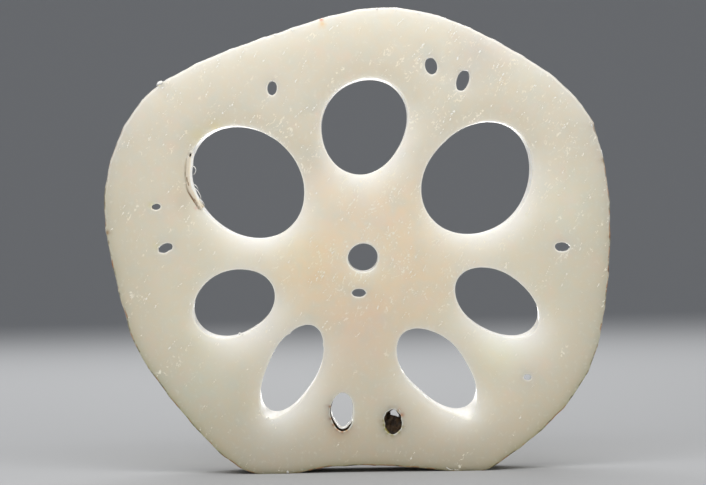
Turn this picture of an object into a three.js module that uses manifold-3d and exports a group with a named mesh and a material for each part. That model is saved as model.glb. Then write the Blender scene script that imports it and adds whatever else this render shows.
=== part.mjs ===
// A lotus root slice: one thick piece cut straight across the root, peeled, and standing on
// its edge. Millimetres, +Z up. X runs across the slice and Y along the root, with the front
// cut at -Y. The origin is under the middle of the slice, on the surface that it stands on.

import * as THREE from "three";
import { mergeVertices } from "three/addons/utils/BufferGeometryUtils.js";
import Module from "manifold-3d";

const THICKNESS = 8;

// The peeled outline of both cut faces from the crown, clockwise as seen from the front. It is
// 70.3 mm across and 64.9 mm high. The points are closer together where the knife left a
// corner. The slice stands on the two lobes that reach down to zero.
const OUTLINE = [
  [3.4, 64.9], [10.1, 64.1], [16.5, 61.7], [22.5, 58.4], [28.2, 54.5], [32.6, 49.4],
  [34.2, 44.4], [35.2, 38.0], [35.1, 29.0], [34.3, 22.2], [32.7, 15.5], [29.28, 9.7],
  [24.42, 4.85], [21.42, 2.65], [18.4, 0.6], [16.6, 0.0], [13.6, 0.0], [8.7, 0.6],
  [1.8, 1.1], [-5.1, 0.9], [-10.2, 0.0], [-13.8, 0.0], [-16.2, 0.7], [-18.4, 2.1],
  [-20.9, 4.4], [-25.43, 9.65], [-29.5, 15.3], [-31.12, 18.2], [-32.2, 21.3], [-33.9, 28.2],
  [-35.1, 34.9], [-35.0, 40.8], [-32.6, 48.3], [-28.5, 53.7], [-22.8, 57.1], [-16.4, 59.7],
  [-9.9, 61.8], [-3.4, 63.8],
];
const OUTLINE_STEPS = 4;

// The rim bulges beyond the cut faces, and the surface below presses the bulge flat.
const RIM_BULGE = 0.25;
const RIM_BULGE_DEPTH = 1.8;
const RIM_BULGE_STEPS = 3;

// Each channel is an oval: its middle, its two half widths, and the angle of its long axis
// above the X axis. The corner swells it towards three sides by a share of its radius, and
// cornerAt is the angle of the first of them.
const CHANNELS = [
  { x: 1.2, z: 48.65, long: 6.9, short: 5.9, angle: 66, corner: 0.023, cornerAt: 30 },
  { x: -15.35, z: 40.95, long: 8.75, short: 7.15, angle: 137, corner: 0.005, cornerAt: 30 },
  { x: 17.0, z: 40.9, long: 8.55, short: 7.1, angle: 47, corner: 0.018, cornerAt: 69 },
  { x: -17.5, z: 23.98, long: 5.95, short: 4.55, angle: 25, corner: 0.016, cornerAt: 4 },
  { x: 19.42, z: 23.5, long: 6.5, short: 4.15, angle: 146, corner: 0.012, cornerAt: 79 },
  { x: -9.4, z: 14.57, long: 6.95, short: 3.45, angle: 62, corner: 0.02, cornerAt: 115 },
  { x: 10.83, z: 14.27, long: 7.1, short: 4.0, angle: 131, corner: 0.03, cornerAt: 62 },
];
const CHANNEL_SIDES = 40;

const NARROW_CHANNELS = [
  { x: 0.75, z: 30.1, long: 2.1, short: 2.0, angle: 7, corner: 0.01, cornerAt: 69 },
  { x: -2.55, z: 8.55, long: 2.7, short: 1.6, angle: 89, corner: 0.045, cornerAt: 55 },
];
const NARROW_SIDES = 20;

// The pores are the thinnest channels. They have no corners, and they fan out towards the back
// cut: each leans away from the middle of the slice, by this share of its distance from it for
// every millimetre behind the front cut.
const PORE_FAN = 0.0022;
const FAN_MIDDLE = { x: 0, z: 40 };
const PORES = [
  { x: -11.6, z: 54.05, long: 1.0, short: 0.66, angle: 85 },
  { x: 10.7, z: 56.8, long: 1.2, short: 0.85, angle: 100 },
  { x: 15.1, z: 54.7, long: 1.55, short: 0.85, angle: 72 },
  { x: -28.1, z: 37.7, long: 0.62, short: 0.42, angle: 5 },
  { x: -26.9, z: 31.9, long: 1.06, short: 0.62, angle: 18 },
  { x: 28.65, z: 31.2, long: 1.0, short: 0.62, angle: 0 },
  { x: 0.1, z: 25.2, long: 1.0, short: 0.55, angle: 0 },
  { x: 23.55, z: 13.0, long: 0.54, short: 0.4, angle: 0 },
];
const PORE_SIDES = 12;

// One pore is nearly closed by dried matter. The matter is sunk below both cut faces and
// leaves a narrow way through at its top.
const PLUGGED_PORE = { x: 4.6, z: 7.05, long: 1.75, short: 1.25, angle: 84 };
const PLUG_WAY = { x: 4.75, z: 8.0, long: 0.8, short: 0.45, angle: 8 };
const PLUG_DEPTH = 0.6;

const FRONT = -THICKNESS / 2;
const BACK = THICKNESS / 2;
const OVERRUN = 1;

const wasm = await Module();
wasm.setup();

function outlinePoints() {
  const knots = OUTLINE.map(([x, z]) => new THREE.Vector3(x, z, 0));
  const curve = new THREE.CatmullRomCurve3(knots, true, "centripetal");
  const points = curve.getPoints(OUTLINE.length * OUTLINE_STEPS).slice(0, -1);
  return points.map((point) => new THREE.Vector2(point.x, point.y));
}

function ovalPoints(oval, sides) {
  const angle = THREE.MathUtils.degToRad(oval.angle);
  const corner = oval.corner ?? 0;
  const cornerAt = THREE.MathUtils.degToRad(oval.cornerAt ?? 0);
  const points = [];
  for (let i = 0; i < sides; i += 1) {
    const around = (2 * Math.PI * i) / sides;
    const along = Math.cos(around - angle) / oval.long;
    const across = Math.sin(around - angle) / oval.short;
    const swell = 1 + corner * Math.cos(3 * (around - cornerAt));
    const radius = swell / Math.hypot(along, across);
    const x = oval.x + radius * Math.cos(around);
    const z = oval.z + radius * Math.sin(around);
    points.push(new THREE.Vector2(x, z));
  }
  return points;
}

function solidFrom(geometry) {
  geometry.deleteAttribute("normal");
  geometry.deleteAttribute("uv");
  const merged = mergeVertices(geometry);
  const mesh = new wasm.Mesh({
    numProp: 3,
    vertProperties: new Float32Array(merged.attributes.position.array),
    triVerts: new Uint32Array(merged.index.array),
  });
  return new wasm.Manifold(mesh);
}

// A closed outline in X and Z, drawn out along Y from one depth to another.
function uprightGeometry(points, from, to, rounding = { bevelEnabled: false }) {
  const shape = new THREE.Shape(points);
  const geometry = new THREE.ExtrudeGeometry(shape, { depth: to - from, ...rounding });
  geometry.rotateX(Math.PI / 2);
  geometry.translate(0, to, 0);
  return geometry;
}

function rootBody() {
  const from = FRONT + RIM_BULGE_DEPTH;
  const to = BACK - RIM_BULGE_DEPTH;
  const geometry = uprightGeometry(outlinePoints(), from, to, {
    bevelThickness: RIM_BULGE_DEPTH,
    bevelSize: RIM_BULGE,
    bevelSegments: RIM_BULGE_STEPS,
  });
  return solidFrom(geometry);
}

// Everything below the surface that the slice stands on.
function belowSurface() {
  const block = new THREE.BoxGeometry(100, 20, 10);
  block.translate(0, 0, -5);
  return solidFrom(block);
}

function throughChannel(oval, sides) {
  return solidFrom(uprightGeometry(ovalPoints(oval, sides), FRONT - OVERRUN, BACK + OVERRUN));
}

function throughPore(pore) {
  const points = ovalPoints(pore, PORE_SIDES);
  const geometry = uprightGeometry(points, FRONT - OVERRUN, BACK + OVERRUN);
  const leanX = PORE_FAN * (pore.x - FAN_MIDDLE.x);
  const leanZ = PORE_FAN * (pore.z - FAN_MIDDLE.z);
  geometry.translate(0, -FRONT, 0);
  geometry.applyMatrix4(new THREE.Matrix4().makeShear(0, 0, leanX, leanZ, 0, 0));
  geometry.translate(0, FRONT, 0);
  return solidFrom(geometry);
}

function plugHollow(from, to) {
  return solidFrom(uprightGeometry(ovalPoints(PLUGGED_PORE, PORE_SIDES), from, to));
}

function sliceGeometry() {
  const cuts = [
    belowSurface(),
    ...CHANNELS.map((oval) => throughChannel(oval, CHANNEL_SIDES)),
    ...NARROW_CHANNELS.map((oval) => throughChannel(oval, NARROW_SIDES)),
    ...PORES.map(throughPore),
    throughChannel(PLUG_WAY, PORE_SIDES),
    plugHollow(FRONT - OVERRUN, FRONT + PLUG_DEPTH),
    plugHollow(BACK - PLUG_DEPTH, BACK + OVERRUN),
  ];
  const solid = cuts.reduce((body, cut) => body.subtract(cut), rootBody());
  const mesh = solid.getMesh();
  const geometry = new THREE.BufferGeometry();
  geometry.setAttribute("position", new THREE.BufferAttribute(mesh.vertProperties, 3));
  geometry.setIndex(new THREE.BufferAttribute(mesh.triVerts, 1));
  geometry.computeVertexNormals();
  return geometry;
}

const flesh = new THREE.MeshStandardMaterial({ color: 0xd9cdb4, roughness: 0.42 });
const slice = new THREE.Mesh(sliceGeometry(), flesh);
slice.name = "lotus_root_slice";

const lotusRootSlice = new THREE.Group();
lotusRootSlice.add(slice);

export default lotusRootSlice;
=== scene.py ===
# A thick slice of lotus root, standing on its edge. Metres, +Z up, the front cut at -Y.
import math

import bmesh
import bpy
import numpy as np
from mathutils import Matrix, Vector, geometry, kdtree, noise


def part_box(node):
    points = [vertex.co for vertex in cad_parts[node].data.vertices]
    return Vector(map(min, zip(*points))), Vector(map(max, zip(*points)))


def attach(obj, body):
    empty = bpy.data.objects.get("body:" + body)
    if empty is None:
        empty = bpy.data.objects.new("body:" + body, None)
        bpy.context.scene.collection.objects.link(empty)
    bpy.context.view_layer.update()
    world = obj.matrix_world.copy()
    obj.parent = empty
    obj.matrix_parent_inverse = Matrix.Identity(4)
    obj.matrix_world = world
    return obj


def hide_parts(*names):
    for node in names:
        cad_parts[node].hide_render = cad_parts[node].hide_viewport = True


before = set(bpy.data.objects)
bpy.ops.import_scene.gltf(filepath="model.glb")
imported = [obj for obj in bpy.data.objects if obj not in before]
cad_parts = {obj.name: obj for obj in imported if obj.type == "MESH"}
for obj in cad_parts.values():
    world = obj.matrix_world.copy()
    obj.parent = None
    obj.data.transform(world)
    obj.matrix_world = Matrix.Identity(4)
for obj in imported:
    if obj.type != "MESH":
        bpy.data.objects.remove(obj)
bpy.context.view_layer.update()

MM = 0.001


# ---- Camera ----
# A long lens an arm's length in front of the slice, a little above its middle, and turned
# very slightly, so that the left foot sits lower in the picture than the right one.
camera_place = Vector((-0.5, -417.0, 39.9)) * MM
camera_target = Vector((-0.62, -4.0, 32.27)) * MM
CAMERA_ROLL = math.radians(-0.9)


def in_scene(name, data):
    """A new object in the scene, at the origin."""
    made = bpy.data.objects.new(name, data)
    bpy.context.scene.collection.objects.link(made)
    return made


def aimed(place, target):
    """The matrix that puts an object at a place and points it at a target."""
    place = Vector(place)
    turn = (Vector(target) - place).to_track_quat("-Z", "Y").to_matrix().to_4x4()
    return Matrix.Translation(place) @ turn


camera_data = bpy.data.cameras.new("camera")
camera_data.lens = 150.4
camera_data.sensor_width = 36.0
camera_data.clip_start = 0.01
camera = in_scene("camera", camera_data)
camera.matrix_world = aimed(camera_place, camera_target) @ Matrix.Rotation(CAMERA_ROLL, 4, "Z")
bpy.context.scene.camera = camera


# ---- Slice ----
# One piece of root flesh between two knife cuts: an outline peeled in strokes along the
# root, a ring of channels with pale lips, and fine pores. It stands on two lobes.
AROUND_STEP = 0.24 * MM
NARROW_STEP = 0.13 * MM
NARROW_MOUTH = 20 * MM

# The outlines are read off the part just behind each cut, without the points too close to count.
SECTION_DEPTH = 0.02 * MM
CLOSEST_POINTS = 0.12 * MM
slice_name = "lotus_root_slice"
slice_low, slice_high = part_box(slice_name)
FRONT = slice_low[1]
BACK = slice_high[1]


def section_loops(node, depth):
    """The closed outlines in X and Z where a plane across Y cuts a node, largest first."""
    mesh = bmesh.new()
    mesh.from_mesh(node.data)
    bmesh.ops.remove_doubles(mesh, verts=mesh.verts, dist=1e-7)
    whole = mesh.verts[:] + mesh.edges[:] + mesh.faces[:]
    cut = bmesh.ops.bisect_plane(mesh, geom=whole, plane_co=(0, depth, 0), plane_no=(0, 1, 0))
    neighbours = {}
    for edge in cut["geom_cut"]:
        if isinstance(edge, bmesh.types.BMEdge):
            first, second = edge.verts
            neighbours.setdefault(first, []).append(second)
            neighbours.setdefault(second, []).append(first)
    loops = []
    while neighbours:
        start = next(iter(neighbours))
        chain = [start]
        step = neighbours.pop(start)[0]
        while step in neighbours:
            chain.append(step)
            onward = neighbours.pop(step)
            step = onward[0] if onward[0] is not chain[-2] else onward[1]
        points = np.array([(vert.co.x, vert.co.z) for vert in chain])
        apart = np.hypot(*(points - np.roll(points, 1, 0)).T) > CLOSEST_POINTS
        loops.append(points[apart])
    mesh.free()
    return sorted(loops, key=lambda loop: -abs(signed_area(loop)))


def signed_area(loop):
    x, z = loop[:, 0], loop[:, 1]
    return 0.5 * float(np.sum(x * np.roll(z, -1) - np.roll(x, -1) * z))


def is_wide(loop):
    """Whether a channel is one of the ring, and not a narrow one or a pore."""
    return float(np.hypot(*(np.roll(loop, -1, 0) - loop).T).sum()) > NARROW_MOUTH


def smooth_loop(loop, step):
    """A closed outline, counter-clockwise, as evenly spaced points on a smooth curve."""
    if signed_area(loop) < 0:
        loop = loop[::-1]
    before, after, beyond = np.roll(loop, 1, 0), np.roll(loop, -1, 0), np.roll(loop, -2, 0)
    parts = []
    for t in np.linspace(0, 1, 16, endpoint=False):
        parts.append(0.5 * (
            2 * loop + (after - before) * t
            + (2 * before - 5 * loop + 4 * after - beyond) * t * t
            + (3 * loop - before - 3 * after + beyond) * t ** 3
        ))
    fine = np.stack(parts, 1).reshape(-1, 2)
    return spaced(np.vstack([fine, fine[:1]]), step)[:-1]


def spaced(line, step):
    """Points at even steps along an open line, both of its ends included."""
    travel = np.r_[0, np.cumsum(np.hypot(*np.diff(line, axis=0).T))]
    stops = np.linspace(0, travel[-1], max(8, round(travel[-1] / step)) + 1)
    return np.stack([np.interp(stops, travel, line[:, 0]), np.interp(stops, travel, line[:, 1])], 1)


def unit(vectors, least=0.0):
    """Vectors of length one. Least keeps a vector without length from dividing by zero."""
    return vectors / (np.linalg.norm(vectors, axis=-1, keepdims=True) + least)


def outward(loop, evening=1):
    """Unit normals of a counter-clockwise loop, pointing away from what it encloses."""
    along = np.roll(loop, -1, 0) - np.roll(loop, 1, 0)
    normal = np.stack([along[:, 1], -along[:, 0]], 1)
    for _ in range(evening):
        normal = unit(normal)
        normal = normal + (np.roll(normal, 1, 0) + np.roll(normal, -1, 0)) / 2
    return unit(normal)


def towards(bearing):
    """Steps of length one in X and Z at bearings in degrees from +X towards +Z."""
    turn = np.radians(bearing)
    return np.stack([np.cos(turn), np.sin(turn)], 1)


def waviness(points, scale, seed):
    """A smooth random height from about -1 to 1 at each point of a plane."""
    return np.array([noise.noise(Vector((p[0] / scale, p[1] / scale, seed))) for p in points])


def gap_to(points, x, z, reach):
    """How far points are from a place, as a share of a reach. Place and reach are in mm."""
    return np.hypot(points[:, 0] - x * MM, points[:, 1] - z * MM) / (reach * MM)


mouth_loops = section_loops(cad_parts[slice_name], FRONT + SECTION_DEPTH)
back_loops = section_loops(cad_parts[slice_name], BACK - SECTION_DEPTH)[1:]
outline = smooth_loop(mouth_loops[0], AROUND_STEP)
outline[:, 1] = np.maximum(outline[:, 1], 0.0)
channel_loops = [
    smooth_loop(loop, AROUND_STEP if is_wide(loop) else NARROW_STEP) for loop in mouth_loops[1:]
]

# Every wall is built in rows: rings on the cut face, a rounded corner, and rows down to the
# middle of the slice, then the same in reverse. The lip of a mouth stands up a little.
FACE_RINGS = [0.26, 0.08]
CORNER_TURN = np.radians([0, 30, 60, 90])
DEEP_ROWS = [0.26, 0.5, 0.9, 1.5, 2.3, 3.1]
LIP_RADIUS = 0.11 * MM
LIP_RISE = 0.045 * MM

# For each row: how far it stands back into the flesh, how far it is behind the nearer cut,
# and its Y.
rings = np.array(FACE_RINGS) * MM + LIP_RADIUS
deep = np.array(DEEP_ROWS) * MM
reach = np.r_[rings, LIP_RADIUS * (1 - np.sin(CORNER_TURN)), deep * 0, 0]
depth = np.r_[rings * 0, LIP_RADIUS * (1 - np.cos(CORNER_TURN)), deep, (BACK - FRONT) / 2]
ROW_REACH = np.r_[reach, reach[-2::-1]]
ROW_DEPTH = np.r_[depth, depth[-2::-1]]
ROW_Y = np.r_[FRONT + depth, BACK - depth[-2::-1]]
RING_REACH = [LIP_RADIUS, *rings[::-1]]
rise_share = np.interp(ROW_REACH, [0, 0.4 * LIP_RADIUS, *RING_REACH], [0, 0.7, 1, 0.3, 0])
LIP_Y = ROW_Y + np.sign(ROW_Y) * LIP_RISE * rise_share

# Where a mouth is pushed out of its even oval: place, push, width and how deep it goes, in mm.
MOUTH_PUSHES = [
    (15.2, 9.0, 0.15, -1.45, 1.5, 3.6), (-12.9, 8.7, -0.25, -0.6, 1.5, 3.0),
    (29.4, 31.2, 0.16, -0.04, 0.35, 90), (27.7, 31.6, -0.05, 0.08, 0.3, 90),
    (-26.5, 31.5, 0.05, 0.16, 0.28, 90), (-11.9, 53.9, 0.14, 0.0, 0.25, 90),
    (3.3, 7.75, -0.10, 0.03, 0.3, 90), (3.65, 8.4, -0.10, 0.08, 0.3, 90),
    (3.4, 6.75, 0.16, 0.0, 0.35, 90), (5.8, 6.1, 0.13, -0.05, 0.28, 90),
    (5.85, 7.4, -0.12, 0.0, 0.35, 90), (5.45, 8.4, -0.12, -0.10, 0.35, 90),
    (-13.57, 21.7, 0.05, -0.11, 0.28, 2.0), (-9.64, 19.7, 0.06, -0.16, 0.3, 0.8),
    (15.6, 21.1, 0.0, 0.15, 0.25, 0.8), (-5.05, 18.0, -0.13, 0.0, 0.25, 0.8),
]

# Where a channel widens towards the back cut: place, push and width, in mm.
BACK_PUSHES = [
    (21.0, 47.3, 0.10, 0.14, 4.5), (25.0, 23.8, 0.40, 0.12, 4.2), (15.9, 12.0, 0.30, 0.00, 3.6),
    (-22.8, 24.4, -0.30, 0.05, 3.6), (-13.6, 11.2, -0.22, 0.00, 3.2),
]


def mouth_pushes(loop, behind):
    """How far the pushes move each point of a channel, at a distance behind the front cut."""
    pushes = [(*push, max(0.0, 1 - behind / (depth * MM)) ** 1.5) for *push, depth in MOUTH_PUSHES]
    pushes += [(*push, behind / (BACK - FRONT)) for push in BACK_PUSHES]
    moved = np.zeros_like(loop)
    for x, z, push_x, push_z, width, share in pushes:
        fall = np.exp(-gap_to(loop, x, z, width) ** 2)
        moved += np.outer(fall * share, np.array((push_x, push_z)) * MM)
    return moved


# The walls of the channels are never quite even: the heights of two waves in mm, their
# lengths, and the share of them that a narrow channel has. They fade out at the lip.
WALL_WAVE = 0.06
WALL_WAVE_LENGTH = 3.0 * MM
WALL_GRAIN = 0.012
WALL_GRAIN_LENGTH = 0.5 * MM
NARROW_CALM = 0.35
WALL_FADE = 0.5 * MM


def channel_wall(loop, seed):
    """The wall of one channel, with a ring of the cut face round each of its mouths. It leans
    towards the nearest mouth in the back cut."""
    away = np.array([other.mean(0) for other in back_loops]) - loop.mean(0)
    lean = away[np.hypot(*away.T).argmin()]
    normal = outward(loop)
    calm = 1.0 if is_wide(loop) else NARROW_CALM
    rows = []
    for reach, depth, y in zip(ROW_REACH, ROW_DEPTH, ROW_Y):
        wave = WALL_WAVE * calm * MM * waviness(loop + y * 0.4, WALL_WAVE_LENGTH, seed)
        fine = WALL_GRAIN * calm * MM * waviness(loop, WALL_GRAIN_LENGTH, seed + 5)
        fade = min(1.0, depth / WALL_FADE)
        offset = reach + (wave + fine) * fade
        shift = lean * (y - FRONT) / (BACK - FRONT)
        rows.append(loop + shift + normal * offset[:, None] + mouth_pushes(loop, y - FRONT))
    return rows


# The peeled rim: its bulge between the cuts, the strokes of the knife, which wander, and the
# chatter and the roughness that the blade leaves across them. The feet are smooth.
RIM_BULGE = 0.25 * MM
RIM_BULGE_DEPTH = 1.8 * MM
STROKE_WIDTH = 5.2 * MM
STROKE_DEPTH = 0.10 * MM
STROKE_WANDER = 14 * MM
CHATTER = 0.05 * MM
CHATTER_LENGTH = 1.1 * MM
ROUGH = 0.035 * MM
ROUGH_LENGTH = 0.55 * MM
FOOT_HEIGHT = 1.2 * MM

# Where the knife left a bump or a nick in the rim: place, height, width and depth, in mm.
RIM_MARKS = [
    (-27.4, 55.1, 0.20, 0.5, 0.7), (-12.5, 61.2, 0.10, 0.3, 0.9), (-12.05, 61.3, -0.24, 0.25, 0.9),
    (-11.2, 61.7, 0.10, 0.35, 0.9), (-7.6, 62.8, 0.08, 0.3, 0.6), (3.4, 65.2, -0.10, 0.3, 0.8),
    (9.4, 64.5, 0.09, 0.25, 0.5), (10.6, 64.3, -0.08, 0.3, 0.6), (13.9, 63.1, 0.07, 0.3, 0.6),
    (18.8, 61.0, -0.10, 0.5, 1.2), (33.1, 48.3, 0.12, 0.35, 1.2), (33.5, 47.5, -0.16, 0.7, 1.4),
    (34.9, 44.2, 0.14, 1.2, 0.8), (-34.6, 33.5, -0.12, 0.8, 1.2), (-33.4, 26.0, 0.12, 0.4, 0.8),
    (-32.4, 22.4, -0.10, 0.6, 1.0),
]


def rim_wall(loop):
    """The rows of the peeled rim, flat where they touch the surface below."""
    normal = outward(loop, 5)
    travel = np.arange(len(loop)) * AROUND_STEP
    stroke = (travel / STROKE_WIDTH + 0.6 * waviness(loop, STROKE_WANDER, 3.0)) % 1.0
    scallop = STROKE_DEPTH * ((2 * stroke - 1) ** 2 - 0.35)
    lifted = np.clip(loop[:, 1] / FOOT_HEIGHT, 0, 1)
    rows = []
    for reach, depth, y in zip(ROW_REACH, ROW_DEPTH, ROW_Y):
        near = max(0.0, 1 - depth / RIM_BULGE_DEPTH)
        bulge = RIM_BULGE * math.sqrt(1 - near ** 2)
        chatter = CHATTER * waviness(loop + y * 0.15, CHATTER_LENGTH, 8.0)
        rough = ROUGH * waviness(loop + y * 0.6, ROUGH_LENGTH, 12.0)
        mark = np.zeros(len(loop))
        for x, z, height, width, reach_in in RIM_MARKS:
            at = gap_to(loop, x, z, width).argmin()
            gap = (travel - travel[at]) / (width * MM)
            fall = math.exp(-((y - FRONT) / (reach_in * MM)) ** 2)
            mark += height * MM * fall * np.exp(-gap ** 2)
        offset = bulge - reach + lifted * (scallop + chatter + rough + mark)
        row = loop + normal * offset[:, None]
        row[:, 1] = np.maximum(row[:, 1], 0.0)
        rows.append(row)
    return rows


walls = [rim_wall(outline)]
walls += [channel_wall(loop, 20.0 + i) for i, loop in enumerate(channel_loops)]

# A line where the lining of a channel has come away from the flesh, on the front cut: place
# in mm and how brown it is. Then its profile: how far aside and how deep in mm, and brown.
CREASE = [
    (-23.75, 44.6, 0.10), (-23.88, 43.75, 0.25), (-23.95, 43.0, 0.6), (-23.97, 42.35, 0.75),
    (-23.97, 41.65, 0.4), (-23.91, 40.95, 0.35), (-23.82, 40.35, 0.45), (-23.63, 39.75, 0.7),
    (-23.22, 39.05, 1.1), (-22.83, 38.45, 1.3), (-22.61, 38.1, 1.2), (-22.27, 37.5, 1.1),
    (-21.93, 37.05, 0.7),
]
CREASE_PROFILE = [
    (-0.15, 0.0, 0.0), (-0.07, 0.02, 0.55), (0.0, 0.10, 1.0), (0.07, 0.02, 0.55), (0.15, 0.0, 0.0),
]
CREASE_TINT = np.array((0.30, 0.16, 0.04))
CREASE_STEP = 0.12 * MM

# Stains, and patches of painted light and painted shade: place, radius in mm, and the tint
# that the flesh takes there. The small dark ones are stains, but the brown ones round the
# narrow mouth are painted shade for the dark split beside its sliver. The wide soft ones are
# painted light and painted shade that even out the flesh's shading, with a painted glow round
# the crusted pore. They go less deep in a mouth than in the rim.
SPOT_DEPTH = 0.25 * MM
RIM_SPOT_DEPTH = 0.8 * MM
STAINS_AND_PAINTED_SHADING = [
    (-23.17, 44.87, 0.22, (0.07, 0.03, 0.015)), (-22.0, 47.5, 1.2, (1.0, 0.98, 0.84)),
    (-19.5, 48.6, 1.0, (1.0, 0.97, 0.80)), (-4.56, 63.52, 0.22, (0.75, 0.22, 0.10)),
    (-4.46, 62.92, 0.35, (1.0, 0.80, 0.58)), (35.41, 32.5, 0.26, (0.40, 0.26, 0.16)),
    (35.11, 27.89, 0.24, (0.45, 0.28, 0.18)), (34.63, 43.21, 0.35, (0.66, 0.52, 0.38)),
    (-34.99, 34.2, 0.3, (0.55, 0.36, 0.24)), (-33.87, 26.35, 0.3, (0.60, 0.42, 0.30)),
    (4.6, 7.05, 2.4, (1.11, 1.10, 1.05)), (-2.55, 8.2, 3.2, (1.04, 1.04, 1.02)),
    (-22.5, 37.45, 0.24, (1.0, 0.82, 0.80)), (-24.2, 38.6, 1.6, (0.93, 0.90, 0.87)),
    (19.7, 17.2, 3.0, (1.05, 1.07, 1.04)), (22.4, 9.8, 7.0, (1.07, 1.08, 1.09)),
    (31.2, 37.7, 5.0, (1.025, 1.045, 1.055)), (17.6, 58.9, 3.5, (0.93, 0.92, 0.94)),
    (-5.8, 43.9, 2.4, (0.94, 0.94, 0.96)), (8.2, 43.7, 2.4, (0.95, 0.95, 0.95)),
    (-22.3, 18.3, 2.8, (0.94, 0.94, 0.90)), (-4.1, 13.0, 3.0, (0.98, 0.95, 0.91)),
    (-6.7, 29.9, 4.0, (1.01, 1.0, 0.95)), (0.7, 34.7, 4.0, (0.97, 1.0, 1.05)),
    (0.2, 20.0, 5.0, (1.0, 0.955, 0.955)), (-22.4, 10.5, 5.0, (0.98, 1.035, 1.06)),
    (-13.4, 4.5, 5.5, (0.94, 0.965, 0.98)), (15.3, 2.3, 5.0, (0.95, 0.96, 0.95)),
    (3.25, 7.2, 0.22, (0.62, 0.58, 0.30)), (3.3, 6.6, 0.22, (0.58, 0.56, 0.24)),
    (3.5, 6.0, 0.22, (0.55, 0.54, 0.20)), (3.85, 5.5, 0.22, (0.62, 0.60, 0.26)),
    (4.45, 5.2, 0.22, (0.70, 0.66, 0.32)), (5.4, 5.55, 0.22, (0.76, 0.72, 0.38)),
    (5.95, 6.3, 0.20, (0.80, 0.70, 0.42)), (5.85, 8.0, 0.30, (0.80, 0.42, 0.26)),
    (5.35, 8.6, 0.18, (0.90, 0.62, 0.46)), (-4.25, 9.3, 0.2, (0.50, 0.26, 0.15)),
    (-4.15, 7.6, 0.2, (0.60, 0.34, 0.20)), (-3.75, 6.75, 0.2, (0.55, 0.28, 0.14)),
    (-3.2, 6.1, 0.2, (0.55, 0.28, 0.14)), (-2.55, 5.75, 0.2, (0.60, 0.32, 0.16)),
    (-1.9, 5.95, 0.2, (0.70, 0.45, 0.28)), (-3.0, 6.0, 1.5, (1.0, 0.88, 0.80)),
    (-28.7, 37.9, 0.5, (1.0, 1.0, 0.78)), (-28.1, 32.1, 0.6, (1.04, 1.04, 0.92)),
]
SMALL_SPOT = 0.5


def stain_and_shading(points):
    """The tint of each point of the front from its stains and its painted light and shade, where white
    leaves the flesh as it is.
    """
    tint = np.ones((len(points), 3))
    for x, z, radius, colour in STAINS_AND_PAINTED_SHADING:
        share = np.exp(-gap_to(points, x, z, radius) ** 2)[:, None]
        tint *= 1 + (np.array(colour) - 1) * share
    return tint


def crease_points():
    """Points along the crease and round the small stains and the marks of painted shade: their
    place, how far they are sunk, and their share of brown."""
    knots = np.array(CREASE)
    line = spaced(knots[:, :2] * MM, CREASE_STEP)
    strength = np.interp(line[:, 1], knots[::-1, 1] * MM, knots[::-1, 2])
    along = np.gradient(line, axis=0)
    aside = unit(np.stack([along[:, 1], -along[:, 0]], 1))
    ends = np.clip(np.minimum(np.arange(len(line)), np.arange(len(line))[::-1]) / 4, 0, 1)
    found = []
    for offset, sunk, brown in CREASE_PROFILE:
        wander = 1 + 0.5 * waviness(line, 0.8 * MM, offset)
        place = line + aside * offset * MM
        found.append(np.c_[place, sunk * MM * ends * wander, brown * strength * ends * wander])
    for x, z, radius, _ in STAINS_AND_PAINTED_SHADING:
        if radius < SMALL_SPOT:
            found.append(np.array([(x * MM, z * MM, 0, 0)]))
            for share in (0.5, 1.0):
                ring = (x, z) + share * radius * towards(np.arange(0, 360, 45))
                found.append(np.c_[ring * MM, np.zeros((len(ring), 2))])
    return np.vstack(found)


def inside(loop, points):
    """Which points lie inside a closed loop."""
    found = np.zeros(len(points), bool)
    for (x0, z0), (x1, z1) in zip(loop, np.roll(loop, -1, 0)):
        spans = (z0 > points[:, 1]) != (z1 > points[:, 1])
        if spans.any():
            cross = x0 + (points[:, 1] - z0) * (x1 - x0) / (z1 - z0 + 1e-15)
            found ^= spans & (points[:, 0] < cross)
    return found


def on_cut(boundaries, points):
    """Which points lie on a cut face: inside its outline and outside every mouth."""
    kept = inside(boundaries[0], points)
    for loop in boundaries[1:]:
        kept &= ~inside(loop, points)
    return kept


def nearest(targets, points):
    """How far each point is from the nearest of the targets, and the number of that one."""
    tree = kdtree.KDTree(len(targets))
    for i, (x, z) in enumerate(targets):
        tree.insert((x, z, 0), i)
    tree.balance()
    found = [tree.find((x, z, 0)) for x, z in points]
    return np.array([gap for _, _, gap in found]), [i for _, i, _ in found]


# The points of a cut face: how far apart they are, and how far they keep from the finer
# details and from the edges.
FACE_STEP = 0.52 * MM
DETAIL_CLEAR = 0.25 * MM
EDGE_CLEAR = 0.07 * MM


def face_points(boundaries, details):
    """Points over a cut face between its boundaries: a loose grid, and details set finer."""
    rng = np.random.default_rng(11)
    low = boundaries[0].min(0)
    high = boundaries[0].max(0)
    xs = np.arange(low[0], high[0], FACE_STEP)
    zs = np.arange(low[1], high[1], FACE_STEP * 0.866)
    grid = np.array([(x + (row % 2) * FACE_STEP / 2, z) for row, z in enumerate(zs) for x in xs])
    grid += rng.uniform(-0.12, 0.12, grid.shape) * FACE_STEP
    grid = np.c_[grid, np.zeros((len(grid), 2))]
    if len(details):
        gap, _ = nearest(details[:, :2], grid[:, :2])
        grid = np.vstack([grid[gap > DETAIL_CLEAR], details])
    grid = grid[on_cut(boundaries, grid[:, :2])]
    gap, _ = nearest(np.vstack(boundaries), grid[:, :2])
    clear = gap > EDGE_CLEAR
    return grid[clear], gap[clear]


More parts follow.
